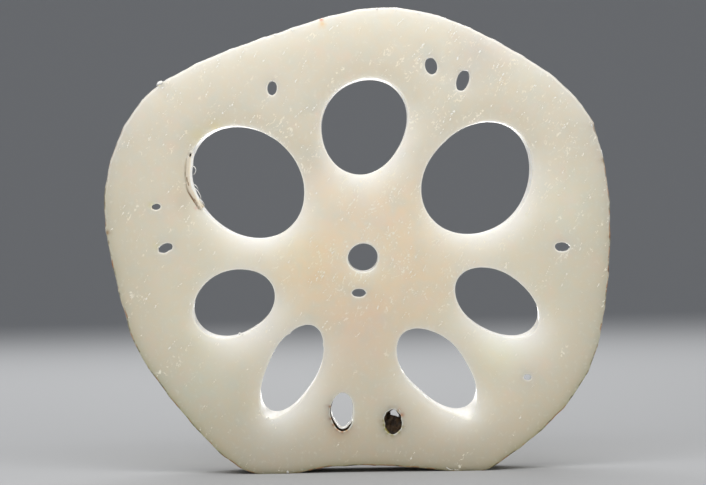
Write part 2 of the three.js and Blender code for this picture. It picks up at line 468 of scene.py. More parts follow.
def face_sheet(boundaries, points):
    """Triangles that fill a cut face, as indices into its boundary points, then its own."""
    joined = np.vstack(boundaries + [points])
    edges = []
    start = 0
    for loop in boundaries:
        count = len(loop)
        edges += [(start + i, start + (i + 1) % count) for i in range(count)]
        start += count
    scaled = [Vector((x / MM, z / MM)) for x, z in joined]
    result = geometry.delaunay_2d_cdt(scaled, edges, [], 0, 1e-6)
    source = [origin[0] if origin else -1 for origin in result[3]]
    triangles = np.array([[source[i] for i in face] for face in result[2] if len(face) == 3])
    triangles = triangles[(triangles >= 0).all(1)]
    return triangles[on_cut(boundaries, joined[triangles].mean(1))]


# Where a mouth's edge is worn round and shows hardly any pale lip: place and reach in mm.
WORN_EDGES = [(24.4, 43.5, 3.8), (24.3, 39.5, 3.0)]
WORN_SHARE = 0.85

# Skin that the knife left in the rim: place, half its length in mm, and how much is left.
SKIN_PATCHES = [
    (35.2, 27.5, 9.5, 0.9), (-34.4, 31.5, 6.0, 1.0), (31.5, 12.5, 5.0, 0.8),
    (-30.5, 17.0, 6.0, 0.8), (26.0, 5.5, 3.0, 0.7), (-23.0, 6.5, 3.0, 0.8),
    (-2.0, 1.0, 6.0, 0.7), (34.6, 43.6, 2.0, 0.7), (-4.6, 64.0, 1.2, 0.3),
]

# Where the white flecks crowd or thin out: place, reach in mm, and how much.
CROWDS = [
    (21.0, 54.0, 13.0, 0.60), (14.0, 55.0, 7.0, 0.16), (27.0, 38.0, 9.0, 0.34),
    (30.0, 47.0, 6.0, 0.20), (-22.0, 50.0, 10.0, 0.28), (-6.0, 50.0, 6.0, 0.26),
    (-4.5, 31.0, 9.0, 0.36), (6.0, 30.0, 9.0, 0.90), (-28.0, 38.0, 8.0, 0.10),
    (2.0, 63.0, 8.0, -0.20), (0.0, 3.0, 14.0, -0.42), (-22.0, 14.0, 10.0, -0.05),
    (27.0, 12.0, 12.0, -0.42), (32.0, 29.0, 6.0, -0.05),
]
EVEN_CROWD = 0.42


def lip_left(loop):
    """How much of the pale lip is left at each point of a mouth, from 0 to 1."""
    left = np.ones(len(loop))
    for x, z, reach in WORN_EDGES:
        left *= 1 - WORN_SHARE * np.exp(-gap_to(loop, x, z, reach) ** 4)
    return left


def skin_left(loop):
    """How much skin is left at each point of the rim, with painted shade in the skin's colours along
    its lower side.
    """
    # Painted shade along the rim's lower side, in the skin's colours.
    left = 0.8 * np.clip(1.1 - 2.2 * outward(loop, 9)[:, 1], 0, 1)
    for x, z, half, strength in SKIN_PATCHES:
        left = np.maximum(left, strength * np.clip(1.4 - 1.4 * gap_to(loop, x, z, half), 0, 1))
    return left


def crowd_at(points):
    """How closely the flecks lie at points of X and Z, from 0 to 1."""
    crowd = np.full(len(points), EVEN_CROWD)
    for x, z, reach, amount in CROWDS:
        crowd += amount * np.exp(-gap_to(points, x, z, reach) ** 2)
    return np.clip(crowd, 0.05, 1.0)


# The flesh is painted lighter below each wide channel and along the crown, a painted glow of
# the light from above and behind, and painted darker above each channel and towards the
# peeled rim, a painted shade. It is also darker and yellower along its lower edge. These are
# the distances that the changes fade over.
GLOW_REACH = 3.4 * MM
GLOW_SIDE = np.array((0.3, -0.954))
SHADE_REACH = 2.4 * MM
SHADE_FROM = 30 * MM
RIM_SHADE_NEAR = 0.7 * MM
RIM_SHADE_FAR = 4.0 * MM
YELLOW_REACH = 0.45 * MM
wide_loops = [loop for loop in channel_loops if is_wide(loop)]


def face_tones(points):
    """How much painted glow, how much painted shade and how much yellow the flesh has at points of X
    and Z, from 0 to 1.
    """
    not_glowing, not_shaded = np.ones(len(points)), np.ones(len(points))
    for loop in wide_loops:
        gap, number = nearest(loop, points)
        normal = outward(loop, 9)[number]
        # Painted glow on the lower side of each channel, where the light from above and behind falls.
        pale = np.exp(-(gap / GLOW_REACH) ** 1.5) * np.clip(0.05 + normal @ GLOW_SIDE, 0, 1)
        not_glowing *= 1 - pale * (1 - 0.5 * np.exp(-gap / (0.6 * MM)))
        strength = 0.95 if loop[:, 1].min() > SHADE_FROM else 0.35
        # Painted shade on the upper side of each channel, away from the light from above.
        painted_shade = np.exp(-(gap / SHADE_REACH) ** 1.3) * np.clip(0.5 + 0.5 * normal[:, 1], 0, 1)
        not_shaded *= 1 - strength * painted_shade
    gap, number = nearest(outline, points)
    up = outward(outline, 9)[number][:, 1]
    # A painted glow along the crown, where the light from above falls.
    not_glowing *= 1 - 0.35 * np.clip(up, 0, 1) ** 2 * np.exp(-(gap / GLOW_REACH) ** 1.5)
    # Painted shade towards the peeled rim, wider on its sides and bottom.
    rim = 0.75 * np.exp(-gap / RIM_SHADE_NEAR)
    rim += 0.45 * np.clip(1 - up, 0, 1) * np.exp(-(gap / RIM_SHADE_FAR) ** 2)
    yellow = 0.6 * np.exp(-gap / YELLOW_REACH) * np.clip(0.25 - up, 0, 1)
    return 1 - not_glowing, np.clip(1 - not_shaded + rim, 0, 1), yellow


def band_faces(rings, count, start=0, closed=False):
    """Faces between rings of equally many points. Closed joins the last ring to the first."""
    found = []
    for j in range(rings if closed else rings - 1):
        near, far = start + j * count, start + (j + 1) % rings * count
        for i in range(count):
            onward = (i + 1) % count
            found.append((near + i, near + onward, far + onward, far + i))
    return found


# How far behind a cut the pale lip and the rim's painted highlight fade, the lining of a channel
# begins, and the skin and the rim's painted shade show.
LIP_FADE = 0.6 * MM
LINING_FROM = 0.1 * MM
LINING_FADE = 0.3 * MM
SKIN_AND_SHADE_DEPTH = np.array([0, 0.01, 0.05, 0.11, 0.3, 0.8, 4.0]) * MM
ring_lip = np.interp(ROW_REACH, [0, *RING_REACH], [1, 1, 0.2, 0])
ROW_LIP = ring_lip * np.clip(1 - ROW_DEPTH / LIP_FADE, 0, 1)
ROW_LINING = np.clip((ROW_DEPTH - LINING_FROM) / LINING_FADE, 0, 1)
ROW_SKIN_AND_SHADE = np.interp(ROW_DEPTH, SKIN_AND_SHADE_DEPTH, [0.0, 0.35, 0.8, 1.0, 0.9, 0.35, 0.16])

vertices, faces, tints, wall_starts = [], [], [], []
shares = {name: [] for name in ("lip", "lining", "skin", "pale", "painted_shade", "edge", "crowd")}


def lay_points(points, y, tint, **given):
    """Adds vertices at points of X and Z, with their Y, their tint and their shares."""
    count = len(points)
    vertices.append(np.c_[points[:, 0], np.zeros(count) + y, points[:, 1]])
    tints.append(tint)
    given["pale"], given["painted_shade"], given["edge"] = face_tones(points)
    for name, parts in shares.items():
        parts.append(np.zeros(count) + given.get(name, 0))


for wall, rows in enumerate(walls):
    is_rim = wall == 0
    start = sum(len(part) for part in vertices)
    wall_starts.append(start)
    left = skin_left(rows[0]) if is_rim else 0
    # On the rim the lip colour is a painted highlight along its upper side, where the light from above
    # falls.
    rim_lip = 0.5 * np.clip(0.3 + outward(rows[0], 9)[:, 1], 0, 1)
    row_y = ROW_Y if is_rim else LIP_Y
    for j, row in enumerate(rows):
        if is_rim:
            lip_share = rim_lip
        else:
            lip_share = lip_left(row) if ROW_Y[j] < 0 else 1
        # The tint of each row holds its stains and its painted light and shade, fading behind the cut.
        fade = math.exp(-((ROW_Y[j] - FRONT) / (RIM_SPOT_DEPTH if is_rim else SPOT_DEPTH)) ** 2)
        lay_points(
            row, row_y[j], 1 + (stain_and_shading(row) - 1) * fade, lip=ROW_LIP[j] * lip_share,
            lining=0 if is_rim else ROW_LINING[j], skin=left * ROW_SKIN_AND_SHADE[j],
            crowd=crowd_at(row) * (ROW_DEPTH[j] == 0),
        )
    faces += band_faces(len(rows), len(rows[0]), start)

# The cut faces sink a little behind their edges, in wide swells and a fine grain, all in mm.
FACE_SINK = 0.03
FACE_SWELL = 0.04
FACE_GRAIN = 0.012
SINK_REACH = 1.0 * MM
for side, row_number, lean in ((FRONT, 0, 1), (BACK, len(ROW_Y) - 1, -1)):
    boundaries = [rows[row_number] for rows in walls]
    details = crease_points() if side == FRONT else np.zeros((0, 4))
    points, gap = face_points(boundaries, details)
    triangles = face_sheet(boundaries, points[:, :2])
    lookup = []
    for start, rows in zip(wall_starts, walls):
        count = len(rows[0])
        lookup += [start + row_number * count + i for i in range(count)]
    first = sum(len(part) for part in vertices)
    lookup += range(first, first + len(points))
    swells = FACE_SWELL * waviness(points, 9 * MM, side * 900)
    relief = FACE_SINK + swells + FACE_GRAIN * waviness(points, 1.6 * MM, side * 700)
    sunk = relief * MM * np.clip(gap / SINK_REACH, 0, 1) + points[:, 2]
    tint = stain_and_shading(points) if side == FRONT else np.ones((len(points), 3))
    tint = tint * (1 + (CREASE_TINT - 1) * np.clip(points[:, 3], 0, 1)[:, None])
    lay_points(points[:, :2], side + lean * sunk, tint, crowd=crowd_at(points))
    faces += [(lookup[a], lookup[b], lookup[c]) for a, b, c in triangles]


def face_outwards(mesh):
    """Turns the faces of closed shells outwards."""
    shape = bmesh.new()
    shape.from_mesh(mesh)
    bmesh.ops.recalc_face_normals(shape, faces=shape.faces)
    shape.to_mesh(mesh)
    shape.free()
    mesh.shade_smooth()


def store_values(mesh, name, values, kind="FLOAT", key="value"):
    """Stores a number or a colour for each vertex, for a material or a node tree to read."""
    layer = mesh.attributes.new(name, kind, "POINT")
    layer.data.foreach_set(key, values.astype(np.float32).ravel())


flesh_mesh = bpy.data.meshes.new("slice_flesh")
flesh_mesh.from_pydata(np.vstack(vertices).tolist(), [], faces)
for name, parts in shares.items():
    store_values(flesh_mesh, name, np.concatenate(parts))
tint_values = np.c_[np.vstack(tints), np.ones(len(flesh_mesh.vertices))]
store_values(flesh_mesh, "tint", tint_values, "FLOAT_COLOR", "color")
face_outwards(flesh_mesh)
flesh = in_scene("slice_flesh", flesh_mesh)


def wire(tree, socket, value):
    """Links a socket to another one, or sets it to a constant."""
    if isinstance(value, bpy.types.NodeSocket):
        tree.links.new(value, socket)
    else:
        socket.default_value = value


def live(sockets, key):
    """The socket at a number, or the one of this name that the node's settings leave on."""
    if isinstance(key, int):
        return sockets[key]
    return next(socket for socket in sockets if socket.name == key and socket.enabled)


def add(tree, kind, values=(), **settings):
    """A new node of a tree, with some of its settings, and links or values for its sockets."""
    made = tree.nodes.new(kind)
    for key, value in settings.items():
        setattr(made, key, value)
    for key, value in dict(values).items():
        wire(tree, live(made.inputs, key), value)
    return made


def mix_colour(tree, share, first, second, blend="MIX"):
    """The colour that mixes two others by a share."""
    values = {0: share, 6: first, 7: second}
    return add(tree, "ShaderNodeMix", values, data_type="RGBA", blend_type=blend).outputs[2]


def layered(tree, colour, *layers):
    """A colour with others laid over it in turn: each one's share, its colour, and the way
    that it blends if it isn't plain."""
    for share, over, *blend in layers:
        colour = mix_colour(tree, share, colour, over, *blend)
    return colour


def math_node(tree, operation, *values):
    return add(tree, "ShaderNodeMath", enumerate(values), operation=operation).outputs[0]


def times(tree, first, *others):
    """The product of two or more values."""
    for other in others:
        first = math_node(tree, "MULTIPLY", first, other)
    return first


def stretched(tree, place, factors):
    values = {0: place, 1: factors}
    return add(tree, "ShaderNodeVectorMath", values, operation="MULTIPLY").outputs[0]


def noise_socket(tree, place, scale, detail=2.0):
    """Noise from 0 to 1 over the object's own coordinates, with features 1/scale metres apart.
    A group of three scales has one for each axis."""
    if isinstance(scale, tuple):
        place = stretched(tree, place, scale)
        scale = 1.0
    values = {"Vector": place, "Scale": scale, "Detail": detail}
    return add(tree, "ShaderNodeTexNoise", values).outputs["Fac"]


def ranged(tree, value, low, high, to_low=0.0, to_high=1.0):
    """A value brought smoothly from one range to another, and held at its ends."""
    values = {"Value": value, "From Min": low, "From Max": high, "To Min": to_low, "To Max": to_high}
    made = add(tree, "ShaderNodeMapRange", values, interpolation_type="SMOOTHSTEP")
    return made.outputs["Result"]


def attribute(tree, name, output="Fac"):
    return add(tree, "ShaderNodeAttribute", attribute_name=name).outputs[output]


def bumped(tree, height, strength, distance):
    """The normal that a height gives to a surface. The distance is in metres."""
    values = {"Height": height, "Strength": strength, "Distance": distance}
    return add(tree, "ShaderNodeBump", values).outputs["Normal"]


def object_place(tree):
    """The place of the point being shaded, in the object's own coordinates."""
    return add(tree, "ShaderNodeTexCoord").outputs["Object"]


def split_place(tree, place):
    return add(tree, "ShaderNodeSeparateXYZ", {0: place}).outputs


def combined(tree, *parts):
    return add(tree, "ShaderNodeCombineXYZ", enumerate(parts)).outputs[0]


def new_group(name, kind, inputs, outputs):
    """A new node group, with inputs and outputs of the given names and kinds of socket."""
    made = bpy.data.node_groups.new(name, kind)
    for way, sockets in (("INPUT", inputs), ("OUTPUT", outputs)):
        for socket, socket_kind in sockets.items():
            made.interface.new_socket(socket, in_out=way, socket_type="NodeSocket" + socket_kind)
    return made


def new_material(name):
    """A new material and its node tree."""
    made = bpy.data.materials.new(name)
    made.use_nodes = True
    return made, made.node_tree


def finish_material(tree, **values):
    """Links or sets sockets of a material's own shader, with _ for the spaces in their names."""
    inputs = tree.nodes["Principled BSDF"].inputs
    for key, value in values.items():
        wire(tree, inputs[key.replace("_", " ")], value)


# The fine streaks along a channel's lining, from 0 to 1, for the flesh and the loose lining.
lining_streak = new_group(
    "lining_streak", "ShaderNodeTree", {"Place": "Vector", "Stretch": "Vector"}, {"Streak": "Float"}
)
given = add(lining_streak, "NodeGroupInput").outputs
drawn = stretched(lining_streak, given["Place"], given["Stretch"])
add(lining_streak, "NodeGroupOutput", {"Streak": noise_socket(lining_streak, drawn, 1.0, 3.0)})

CREAM = (0.80, 0.753, 0.62, 1)
TAN = (0.90, 0.755, 0.555, 1)
TAN_MIDDLE = (0.0018, 0.0, 0.031)
GREEN_GREY = (0.76, 0.75, 0.64, 1)
PINK = (0.86, 0.735, 0.61, 1)
LIP_AND_HIGHLIGHT_WHITE = (0.96, 0.91, 0.79, 1)
PAINTED_GLOW_WHITE = (0.90, 0.873, 0.81, 1)
FIBRE_WHITE = (0.97, 0.91, 0.78, 1)
FIBRE_SLANT = math.radians(55)
CROWN_PAINTED_LIGHT_TINT = (0.985, 0.99, 1.025, 1)
LOW_PAINTED_SHADE_TINT = (0.91, 0.87, 0.83, 1)
PAINTED_SHADE_TINT = (0.80, 0.78, 0.74, 1)
YELLOW_TINT = (0.60, 0.63, 0.34, 1)
WARM_MOTTLE = (1.008, 0.993, 0.975, 1)
COOL_MOTTLE = (0.988, 1.0, 1.012, 1)
LINING_COLOUR = (0.945, 0.925, 0.885, 1)
LINING_STREAK = (0.87, 0.84, 0.765, 1)
SKIN_OLIVE = (0.16, 0.13, 0.045, 1)
SKIN_RUST = (0.42, 0.14, 0.035, 1)
SKIN_DARK = (0.055, 0.04, 0.018, 1)

# The flesh: cream, tan round the middle, patchy, with painted glow and painted shade where
# its shares say so, and painted light and shade by height.
flesh_material, tree = new_material("lotus_flesh")
place = object_place(tree)
height = split_place(tree, place)
middle_values = {0: stretched(tree, place, (1, 0, 1)), 1: TAN_MIDDLE}
from_middle = add(tree, "ShaderNodeVectorMath", middle_values, operation="DISTANCE").outputs["Value"]
cloud = noise_socket(tree, place, 150, 3.0)
patch = noise_socket(tree, place, 260)
blush = noise_socket(tree, place, 330)
heart = ranged(tree, from_middle, 0.005, 0.021, 0.75, 0.0)
tan_share = times(tree, heart, ranged(tree, cloud, 0.25, 0.7, 0.6, 0.95))
mottle_share = ranged(tree, noise_socket(tree, place, 750), 0.35, 0.65)
# A painted glow below the channels and along the crown.
painted_glow_share = times(tree, attribute(tree, "pale"), ranged(tree, cloud, 0.2, 0.6, 0.7, 1.0))
colour = layered(
    tree, CREAM, (tan_share, TAN),
    (ranged(tree, patch, 0.45, 0.75, 0.0, 0.6), GREEN_GREY),
    (ranged(tree, blush, 0.52, 0.75, 0.0, 0.35), PINK),
    # Painted light and shade by height: a cooler painted tint towards the crown, and painted shade
    # towards the bottom.
    (ranged(tree, height["Z"], 0.030, 0.050), CROWN_PAINTED_LIGHT_TINT, "MULTIPLY"),
    (ranged(tree, height["Z"], 0.0, 0.022, 1.0, 0.0), LOW_PAINTED_SHADE_TINT, "MULTIPLY"),
    # Painted shade above the channels and towards the rim.
    (attribute(tree, "painted_shade"), PAINTED_SHADE_TINT, "MULTIPLY"),
    (attribute(tree, "edge"), YELLOW_TINT, "MULTIPLY"),
    (1.0, mix_colour(tree, mottle_share, WARM_MOTTLE, COOL_MOTTLE), "MULTIPLY"),
    (painted_glow_share, PAINTED_GLOW_WHITE),
)
grain = noise_socket(tree, place, 1500)
pale = mix_colour(tree, 0.5, colour, LIP_AND_HIGHLIGHT_WHITE)
colour = mix_colour(tree, ranged(tree, grain, 0.56, 0.78, 0.0, 0.55), colour, pale)

# Faint broken fibre lines, slanting, bunched where the flecks crowd.
slant_x, slant_z = math.cos(FIBRE_SLANT), math.sin(FIBRE_SLANT)
along_fibre, across_fibre = (
    add(tree, "ShaderNodeVectorMath", {0: place, 1: way}, operation="DOT_PRODUCT").outputs["Value"]
    for way in ((slant_x, 0, slant_z), (-slant_z, 0, slant_x))
)
fibre_place = combined(tree, times(tree, along_fibre, 0.55), across_fibre, height["Y"])
wander = noise_socket(tree, fibre_place, 1300)
off_line = math_node(tree, "ABSOLUTE", math_node(tree, "SUBTRACT", wander, 0.5))
line_share = ranged(tree, off_line, 0.015, 0.06, 1.0, 0.0)
broken = ranged(tree, noise_socket(tree, place, 2900, 1.0), 0.50, 0.60)
bunch = noise_socket(tree, stretched(tree, fibre_place, (0.7, 1.0, 1.0)), 620, 1.0)
bunch = math_node(tree, "ADD", bunch, times(tree, attribute(tree, "crowd"), 0.22))
fibre_height = ranged(tree, height["Z"], 0.032, 0.056, 1.0, 0.85)
fibre_share = times(tree, line_share, broken, ranged(tree, bunch, 0.71, 0.78), fibre_height)

# The lining of the channels, the pale lips with a painted highlight along the rim's upper
# side, the skin left on the rim with painted shade along its lower side, and the stains with
# the painted light and shade.
lining = attribute(tree, "lining")
streak_values = {"Place": place, "Stretch": (2600, 160, 2600)}
streak = add(tree, "ShaderNodeGroup", streak_values, node_tree=lining_streak).outputs[0]
streak_share = ranged(tree, streak, 0.4, 0.7, 0.0, 0.7)
lining_colour = mix_colour(tree, streak_share, LINING_COLOUR, LINING_STREAK)
lip_share = times(tree, attribute(tree, "lip"), ranged(tree, patch, 0.3, 0.6, 0.6, 1.0))
flake = noise_socket(tree, place, (900, 350, 900), 4.0)
rust = noise_socket(tree, place, (420, 90, 420))
scab = noise_socket(tree, place, (1300, 500, 1300))
skin_share = times(tree, attribute(tree, "skin"), ranged(tree, flake, 0.40, 0.56))
skin_colour = layered(
    tree, SKIN_OLIVE, (ranged(tree, rust, 0.44, 0.54), SKIN_RUST),
    (ranged(tree, scab, 0.56, 0.64), SKIN_DARK),
)
colour = layered(
    tree, colour, (fibre_share, FIBRE_WHITE), (lining, lining_colour), (lip_share, LIP_AND_HIGHLIGHT_WHITE),
    (skin_share, skin_colour), (1.0, attribute(tree, "tint", "Color"), "MULTIPLY"),
)

# Light goes deep into the flesh, but not where an edge, a fibre, the skin and the rim's painted shade
# have to stay crisp.
crisp = times(tree, lining, 0.6)
for share in (fibre_share, skin_share, lip_share):
    crisp = math_node(tree, "MAXIMUM", share, crisp)
bump_height = math_node(tree, "ADD", times(tree, grain, 0.5), times(tree, streak, lining))
damp = noise_socket(tree, place, 420, 3.0)
finish_material(
    tree, Base_Color=colour, Roughness=ranged(tree, damp, 0.3, 0.7, 0.34, 0.5), IOR=1.38,
    Normal=bumped(tree, bump_height, 0.25, 0.03 * MM), Subsurface_Weight=1.0,
    Subsurface_Radius=(0.92, 0.95, 1.0), Subsurface_Scale=ranged(tree, crisp, 0.0, 1.0, 0.0055, 0.0006),
)
flesh_mesh.materials.append(flesh_material)
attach(flesh, "root")
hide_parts(slice_name)


# ---- Loose lining ----
# The thin pale lining of two channels where it has split from the flesh: a strip beside the
# widest and a sliver inside the lowest, with hanging fibres and crumbs stuck to the edges.
LINING_THICKNESS = 0.09 * MM
THREAD_RADIUS = 0.07 * MM


def sheet_shell(grid, thickness):
    """Vertices and faces of a closed thin sheet through a grid of places."""
    normal = unit(np.cross(np.gradient(grid, axis=0), np.gradient(grid, axis=1)), 1e-12)
    n, m = grid.shape[:2]
    top = (grid + normal * thickness / 2).reshape(-1, 3)
    under = (grid - normal * thickness / 2).reshape(-1, 3)
    rim = [i * m for i in range(n)] + [(n - 1) * m + j for j in range(1, m)]
    rim += [i * m + m - 1 for i in range(n - 2, -1, -1)] + [j for j in range(m - 2, 0, -1)]
    found = []
    for i in range(n - 1):
        for j in range(m - 1):
            a = i * m + j
            quad = (a, a + 1, a + m + 1, a + m)
            found.append(quad)
            found.append(tuple(n * m + k for k in reversed(quad)))
    for a, b in zip(rim, rim[1:] + rim[:1]):
        found.append((a, b, b + n * m, a + n * m))
    return np.vstack([top, under]), found


def ring_shell(rings):
    """Vertices and faces of a closed solid through rings of equally many places."""
    count = len(rings[0])
    found = band_faces(len(rings), count)
    found.append(tuple(range(count - 1, -1, -1)))
    found.append(tuple(range((len(rings) - 1) * count, len(rings) * count)))
    return np.vstack(rings), found


def thread_shell(path):
    """A thin closed thread along a path in mm, pointed at its far end."""
    knots = np.array(path) * MM
    travel = np.linspace(0, 1, len(knots))
    stops = np.linspace(0, 1, 6 * len(knots))
    line = np.stack([np.interp(stops, travel, knots[:, k]) for k in range(3)], 1)
    for _ in range(3):
        line[1:-1] = (line[:-2] + 2 * line[1:-1] + line[2:]) / 4
    along = unit(np.gradient(line, axis=0))
    side = unit(np.cross(along, (0.3, 0.9, 0.2)))
    spokes = towards(np.arange(0, 360, 60)) @ np.stack([side, np.cross(along, side)], 1)
    thick = THREAD_RADIUS * np.clip(1.15 - stops, 0.25, 1)
    return ring_shell(line[:, None] + spokes * thick[:, None, None])


def crumb_shell(x, y, z, half, slant, seed):
    """A small lump round a place in mm, with its half sizes along X, Y and Z."""
    circle = towards(np.arange(0, 360, 36))
    lean = math.radians(slant)
    rings = []
    for height in (-0.97, -0.7, -0.25, 0.25, 0.7, 0.97):
        ring = np.c_[math.sqrt(1 - height ** 2) * circle, np.full(len(circle), height)]
        swell = [1 + 0.45 * noise.noise(Vector(p) * 1.3 + Vector((seed, 0, 0))) for p in ring]
        ring = ring * np.array(swell)[:, None] * np.array(half)
        across = ring[:, 0] * math.cos(lean) - ring[:, 2] * math.sin(lean)
        up = ring[:, 0] * math.sin(lean) + ring[:, 2] * math.cos(lean)
        rings.append(np.stack([x + across, y + ring[:, 1], z + up], 1) * MM)
    return ring_shell(rings)


def joined_object(name, shells, material, brown):
    """One object made of several closed shells. Brown is the share of brown at each vertex of
    the first of them."""
    mesh = bpy.data.meshes.new(name)
    places, found = [], []
    for shell_places, shell_faces in shells:
        start = len(places)
        places += shell_places.tolist()
        found += [tuple(start + k for k in face) for face in shell_faces]
    mesh.from_pydata(places, [], found)
    store_values(mesh, "brown", np.r_[brown, np.zeros(len(places) - len(brown))])
    face_outwards(mesh)
    mesh.materials.append(material)
    return in_scene(name, mesh)


def nearest_channel(x, z):
    """The mouth whose middle is nearest to a place in mm."""
    place = np.array((x, z)) * MM
    return min(channel_loops, key=lambda loop: np.hypot(*(loop.mean(0) - place)))


def bearings(points):
    """The direction of each point from zero, in degrees from +X towards +Z."""
    return np.degrees(np.arctan2(*points.T[::-1])) % 360


# The strip's inner edge, in mm. Its outer edge is the crease, where it hangs on. Then how
# brown it is by the share of the way across it, and near the crease by the height in mm.
STRIP_INNER = [
    (-22.55, 45.2), (-22.7, 44.85), (-22.77, 44.2), (-22.83, 43.45), (-22.94, 42.8),
    (-23.0, 42.1), (-22.95, 41.25), (-22.78, 40.45), (-22.4, 39.6), (-21.93, 38.7),
    (-21.6, 38.1), (-21.33, 37.65),
]
STRIP_ACROSS = np.linspace(0.14, 1.0, 9)
STRIP_EDGE_BROWN = ([0.14, 0.24, 0.36, 0.62, 0.76], [1.0, 0.5, 0.34, 0.28, 0.0])
STRIP_HEIGHT_BROWN = (
    [37.0, 38.0, 39.4, 40.3, 41.6, 43.0, 44.0, 44.6], [1.0, 1.0, 0.95, 0.6, 0.45, 0.7, 0.4, 0.2],
)
strip_outer = spaced(np.array(CREASE)[:, :2] * MM, CREASE_STEP)
fine_inner = spaced(np.array(STRIP_INNER) * MM, 0.02 * MM)
picked = np.linspace(0, len(fine_inner) - 1, len(strip_outer)).round().astype(int)
strip_inner = fine_inner[picked]
strip_rows = []
for across in STRIP_ACROSS:
    ragged = 0.10 * MM * waviness(strip_outer, 0.5 * MM, 3.0) * max(0.0, across - 0.6)
    place_xz = strip_outer + (strip_inner - strip_outer) * across + ragged[:, None]
    lift = (0.10 * math.sin(math.pi * across ** 0.7) - 0.03) * MM
    lift = lift + 0.02 * MM * waviness(place_xz, 0.7 * MM, 9.0)
    strip_rows.append(np.c_[place_xz[:, 0], FRONT - lift, place_xz[:, 1]])
strip_grid = np.stack(strip_rows, 1)
strip = sheet_shell(strip_grid, LINING_THICKNESS)

# Brown lines on the strip: both ends and the width in mm, and how brown they are.
STRIP_LINES = [
    (-23.77, 41.75, -23.5, 40.6, 0.09, 1.2), (-22.7, 38.75, -22.3, 38.1, 0.16, 0.75),
    (-21.95, 38.45, -21.5, 37.75, 0.11, 0.85), (-21.75, 37.75, -21.45, 37.4, 0.10, 0.9),
    (-22.2, 37.9, -21.75, 37.35, 0.06, 0.7),
]
edge_brown = np.interp(STRIP_ACROSS, *STRIP_EDGE_BROWN)
outer_brown = np.interp(strip_outer[:, 1] / MM, *STRIP_HEIGHT_BROWN)
strip_brown = (edge_brown * np.where(edge_brown > 0.4, outer_brown[:, None], 1.0)).ravel()
strip_places = strip_grid[:, :, ::2].reshape(-1, 2)
for x0, z0, x1, z1, width, strength in STRIP_LINES:
    start, end = np.array((x0, z0)) * MM, np.array((x1, z1)) * MM
    along = np.clip((strip_places - start) @ (end - start) / ((end - start) @ (end - start)), 0, 1)
    gap = np.hypot(*(strip_places - start - along[:, None] * (end - start)).T) / (width * MM)
    strip_brown = np.maximum(strip_brown, strength * np.exp(-gap ** 2))

# The split in the narrow mouth, by bearing from its middle: how wide it is, and how thick the
# sliver is that stands beside it, in mm. The sliver begins a little way along the split.
SPLIT_BEARINGS = [125, 150, 202, 228, 249, 275, 299, 309, 313]
SPLIT_WIDTHS = [0.0, 0.08, 0.19, 0.31, 0.35, 0.41, 0.33, 0.17, 0.07]
SLIVER_WIDTHS = [0.05, 0.06, 0.08, 0.10, 0.13, 0.18, 0.19, 0.17, 0.12]
SLIVER_FROM = 152
narrow = nearest_channel(-2.55, 8.5)
narrow_normal = outward(narrow)
bearing = bearings(narrow - narrow.mean(0))


def along_split(start):
    """The points of the narrow mouth beside the split, in order, and its width at each."""
    kept = np.where((bearing > start) & (bearing < SPLIT_BEARINGS[-1]))[0]
    kept = kept[np.argsort(bearing[kept])]
    return kept, np.interp(bearing[kept], SPLIT_BEARINGS, SPLIT_WIDTHS) * MM


kept, split_width = along_split(SLIVER_FROM)
sliver_line = narrow[kept] - narrow_normal[kept] * split_width[:, None]
sliver_rows = []
for depth in (0.0, 0.15, 0.5, 1.0, 1.7, 2.6):
    wave = 0.04 * MM * waviness(sliver_line, 0.8 * MM, depth)
    edge = 0.06 * waviness(sliver_line, 0.5 * MM, 4.0) * (depth == 0)
    y = FRONT + (depth + edge + 0.03) * MM
    sliver_rows.append(np.c_[sliver_line[:, 0] + wave, y, sliver_line[:, 1] + wave])
sliver_width = np.interp(bearing[kept], SPLIT_BEARINGS, SLIVER_WIDTHS) * MM
sliver = sheet_shell(np.stack(sliver_rows, 1), sliver_width[:, None, None])

# The hanging fibres, as paths in mm.
THREADS = [
    [(-22.9, -3.98, 43.27), (-22.64, -4.02, 43.22), (-22.44, -3.98, 42.86), (-22.51, -3.95, 42.49),
     (-22.69, -3.95, 42.21), (-22.9, -3.98, 42.15)],
    [(-22.6, -3.98, 40.2), (-22.23, -4.03, 39.82), (-21.99, -4.0, 39.4), (-21.81, -3.95, 38.97),
     (-21.86, -3.95, 38.69), (-22.05, -3.98, 38.70)],
    [(-22.7, -3.98, 40.75), (-22.35, -4.05, 40.45), (-22.15, -4.03, 40.0)],
    [(-22.0, -3.98, 38.7), (-21.72, -4.08, 38.15), (-21.45, -4.02, 37.6)],
    [(-21.9, -3.98, 38.65), (-21.5, -4.05, 38.2), (-21.3, -4.0, 37.8)],
    [(12.0, -4.0, 0.55), (12.2, -4.08, 0.35), (12.6, -4.12, 0.2), (12.9, -4.1, 0.22)],
    [(-10.3, -4.0, 0.4), (-10.2, -4.12, 0.25), (-10.15, -4.15, 0.12)],
    [(5.5, -4.0, 8.75), (5.75, -3.9, 8.2), (5.85, -3.75, 7.7)],
    [(34.3, -4.0, 44.7), (34.45, -4.04, 44.1), (34.55, -4.05, 43.6)],
]

